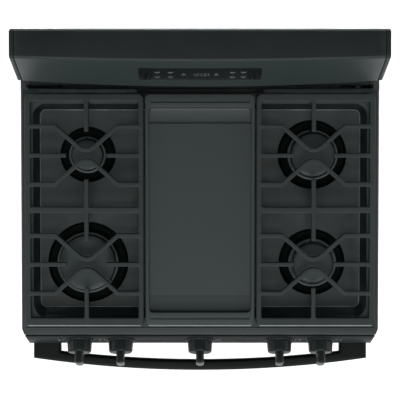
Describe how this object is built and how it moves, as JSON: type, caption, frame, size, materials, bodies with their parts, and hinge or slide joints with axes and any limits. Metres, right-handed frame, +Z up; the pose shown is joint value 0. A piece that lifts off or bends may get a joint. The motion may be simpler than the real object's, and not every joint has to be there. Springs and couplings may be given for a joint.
{
  "type": "freestanding gas range",
  "caption": "Freestanding gas range: sealed burners under cast grates, a centre griddle, an oven with a drop-down door, a storage drawer and a bowed backguard.",
  "frame": {"origin": "on the floor, under the middle of the range's box", "axes": "+X to the cook's right, +Y to the back, +Z up"},
  "size_m": [0.7594, 0.736, 1.2],
  "materials": {
    "body_paint": "semi-gloss black paint on pressed steel",
    "panel_paint": "satin dark grey metallic paint",
    "bare_steel": "zinc-coated steel",
    "oven_enamel": "dark speckled oven enamel",
    "top_enamel": "gloss black enamel",
    "gasket": "woven glass-fibre braid",
    "lamp_glass": "thick clear glass",
    "window_glass": "clear tempered glass",
    "black_glass": "gloss black glass front",
    "bright_steel": "polished nickel-chrome wire",
    "brass": "machined brass",
    "burner_aluminium": "cast aluminium, dulled by heat",
    "cap_enamel": "matt black enamel on cast iron",
    "knob_plastic": "satin black plastic",
    "grate_iron": "matt black enamel on cast iron",
    "griddle_coat": "dark grey non-stick coat",
    "trim_plastic": "moulded black plastic"
  },
  "bodies": {
    "root": {"side_panel_left": "body_paint", "side_panel_right": "body_paint", "manifold_panel": "panel_paint", "backguard_shell": "panel_paint", "base_frame": "bare_steel", "rear_panel": "bare_steel", "bake_burner": "bare_steel", "broil_burner": "bare_steel", "door_hinge_left": "bare_steel", "door_hinge_right": "bare_steel", "gas_manifold": "bare_steel", "backguard_rear_cover": "bare_steel", "oven_liner": "oven_enamel", "oven_floor": "oven_enamel", "cooktop": "top_enamel", "oven_front_frame": "top_enamel", "door_gasket": "gasket", "oven_lamp_cover": "lamp_glass", "control_glass": "black_glass", "temperature_probe": "bright_steel", "gas_inlet": "brass", "burner_head_left_rear": "burner_aluminium", "burner_head_left_front": "burner_aluminium", "burner_head_right_rear": "burner_aluminium", "burner_head_right_front": "burner_aluminium", "burner_head_centre": "burner_aluminium", "backguard_end_left": "trim_plastic", "backguard_end_right": "trim_plastic", "power_inlet": "trim_plastic"},
    "oven_door": {"door_outer_panel": "body_paint", "door_outer_glass": "black_glass", "door_inner_panel": "oven_enamel", "door_inner_glass": "window_glass", "door_handle": "body_paint"},
    "storage_drawer": {"drawer_front": "body_paint", "drawer_tub": "bare_steel"},
    "grate_left_body": {"grate_left": "grate_iron"},
    "grate_right_body": {"grate_right": "grate_iron"},
    "griddle_body": {"griddle": "griddle_coat"},
    "rack_lower": {"oven_rack_lower": "bright_steel"},
    "rack_upper": {"oven_rack_upper": "bright_steel"},
    "stem_left_front": {"valve_stem_left_front": "brass"},
    "dial_left_front": {"knob_left_front": "knob_plastic"},
    "stem_left_rear": {"valve_stem_left_rear": "brass"},
    "dial_left_rear": {"knob_left_rear": "knob_plastic"},
    "stem_centre": {"valve_stem_centre": "brass"},
    "dial_centre": {"knob_centre": "knob_plastic"},
    "stem_right_rear": {"valve_stem_right_rear": "brass"},
    "dial_right_rear": {"knob_right_rear": "knob_plastic"},
    "stem_right_front": {"valve_stem_right_front": "brass"},
    "dial_right_front": {"knob_right_front": "knob_plastic"},
    "cap_left_rear": {"burner_cap_left_rear": "cap_enamel"},
    "cap_left_front": {"burner_cap_left_front": "cap_enamel"},
    "cap_right_rear": {"burner_cap_right_rear": "cap_enamel"},
    "cap_right_front": {"burner_cap_right_front": "cap_enamel"},
    "cap_centre": {"burner_cap_centre": "cap_enamel"},
    "foot_left_front": {"levelling_leg_left_front": "trim_plastic"},
    "foot_left_rear": {"levelling_leg_left_rear": "trim_plastic"},
    "foot_right_front": {"levelling_leg_right_front": "trim_plastic"},
    "foot_right_rear": {"levelling_leg_right_rear": "trim_plastic"}
  },
  "joints": [
    {"name": "door_hinge", "type": "hinge", "parent": "root", "child": "oven_door", "pos_m": [0, -0.29, 0.222], "axis": [1, 0, 0], "range_deg": [0, 90]},
    {"name": "drawer_slide", "type": "slide", "parent": "root", "child": "storage_drawer", "axis": [0, -1, 0], "range_m": [0, 0.35]},
    {"name": "grate_left_lift", "type": "slide", "parent": "root", "child": "grate_left_body", "axis": [0, 0, 1], "range_m": [0, 0.28]},
    {"name": "grate_right_lift", "type": "slide", "parent": "root", "child": "grate_right_body", "axis": [0, 0, 1], "range_m": [0, 0.28]},
    {"name": "griddle_lift", "type": "slide", "parent": "root", "child": "griddle_body", "axis": [0, 0, 1], "range_m": [0, 0.28]},
    {"name": "rack_lower_slide", "type": "slide", "parent": "root", "child": "rack_lower", "axis": [0, -1, 0], "range_m": [0, 0.012]},
    {"name": "rack_upper_slide", "type": "slide", "parent": "root", "child": "rack_upper", "axis": [0, -1, 0], "range_m": [0, 0.012]},
    {"name": "valve_turn_left_front", "type": "hinge", "parent": "root", "child": "stem_left_front", "pos_m": [-0.261, -0.28881, 0.866], "axis": [0, -0.9431, 0.3325], "range_deg": [0, 250]},
    {"name": "knob_push_left_front", "type": "slide", "parent": "stem_left_front", "child": "dial_left_front", "axis": [0, 0.9431, -0.3325], "range_m": [0, 0.003], "stiffness_N_per_m": 1500},
    {"name": "valve_turn_left_rear", "type": "hinge", "parent": "root", "child": "stem_left_rear", "pos_m": [-0.1717, -0.28881, 0.866], "axis": [0, -0.9431, 0.3325], "range_deg": [0, 250]},
    {"name": "knob_push_left_rear", "type": "slide", "parent": "stem_left_rear", "child": "dial_left_rear", "axis": [0, 0.9431, -0.3325], "range_m": [0, 0.003], "stiffness_N_per_m": 1500},
    {"name": "valve_turn_centre", "type": "hinge", "parent": "root", "child": "stem_centre", "pos_m": [0, -0.28881, 0.866], "axis": [0, -0.9431, 0.3325], "range_deg": [0, 250]},
    {"name": "knob_push_centre", "type": "slide", "parent": "stem_centre", "child": "dial_centre", "axis": [0, 0.9431, -0.3325], "range_m": [0, 0.003], "stiffness_N_per_m": 1500},
    {"name": "valve_turn_right_rear", "type": "hinge", "parent": "root", "child": "stem_right_rear", "pos_m": [0.1717, -0.28881, 0.866], "axis": [0, -0.9431, 0.3325], "range_deg": [0, 250]},
    {"name": "knob_push_right_rear", "type": "slide", "parent": "stem_right_rear", "child": "dial_right_rear", "axis": [0, 0.9431, -0.3325], "range_m": [0, 0.003], "stiffness_N_per_m": 1500},
    {"name": "valve_turn_right_front", "type": "hinge", "parent": "root", "child": "stem_right_front", "pos_m": [0.261, -0.28881, 0.866], "axis": [0, -0.9431, 0.3325], "range_deg": [0, 250]},
    {"name": "knob_push_right_front", "type": "slide", "parent": "stem_right_front", "child": "dial_right_front", "axis": [0, 0.9431, -0.3325], "range_m": [0, 0.003], "stiffness_N_per_m": 1500},
    {"name": "cap_lift_left_rear", "type": "slide", "parent": "root", "child": "cap_left_rear", "axis": [0, 0, 1], "range_m": [0, 0.008]},
    {"name": "cap_lift_left_front", "type": "slide", "parent": "root", "child": "cap_left_front", "axis": [0, 0, 1], "range_m": [0, 0.008]},
    {"name": "cap_lift_right_rear", "type": "slide", "parent": "root", "child": "cap_right_rear", "axis": [0, 0, 1], "range_m": [0, 0.008]},
    {"name": "cap_lift_right_front", "type": "slide", "parent": "root", "child": "cap_right_front", "axis": [0, 0, 1], "range_m": [0, 0.008]},
    {"name": "cap_lift_centre", "type": "slide", "parent": "root", "child": "cap_centre", "axis": [0, 0, 1], "range_m": [0, 0.008]},
    {"name": "leg_extend_left_front", "type": "slide", "parent": "root", "child": "foot_left_front", "axis": [0, 0, -1], "range_m": [0, 0.025]},
    {"name": "leg_extend_left_rear", "type": "slide", "parent": "root", "child": "foot_left_rear", "axis": [0, 0, -1], "range_m": [0, 0.025]},
    {"name": "leg_extend_right_front", "type": "slide", "parent": "root", "child": "foot_right_front", "axis": [0, 0, -1], "range_m": [0, 0.025]},
    {"name": "leg_extend_right_rear", "type": "slide", "parent": "root", "child": "foot_right_rear", "axis": [0, 0, -1], "range_m": [0, 0.025]}
  ]
}
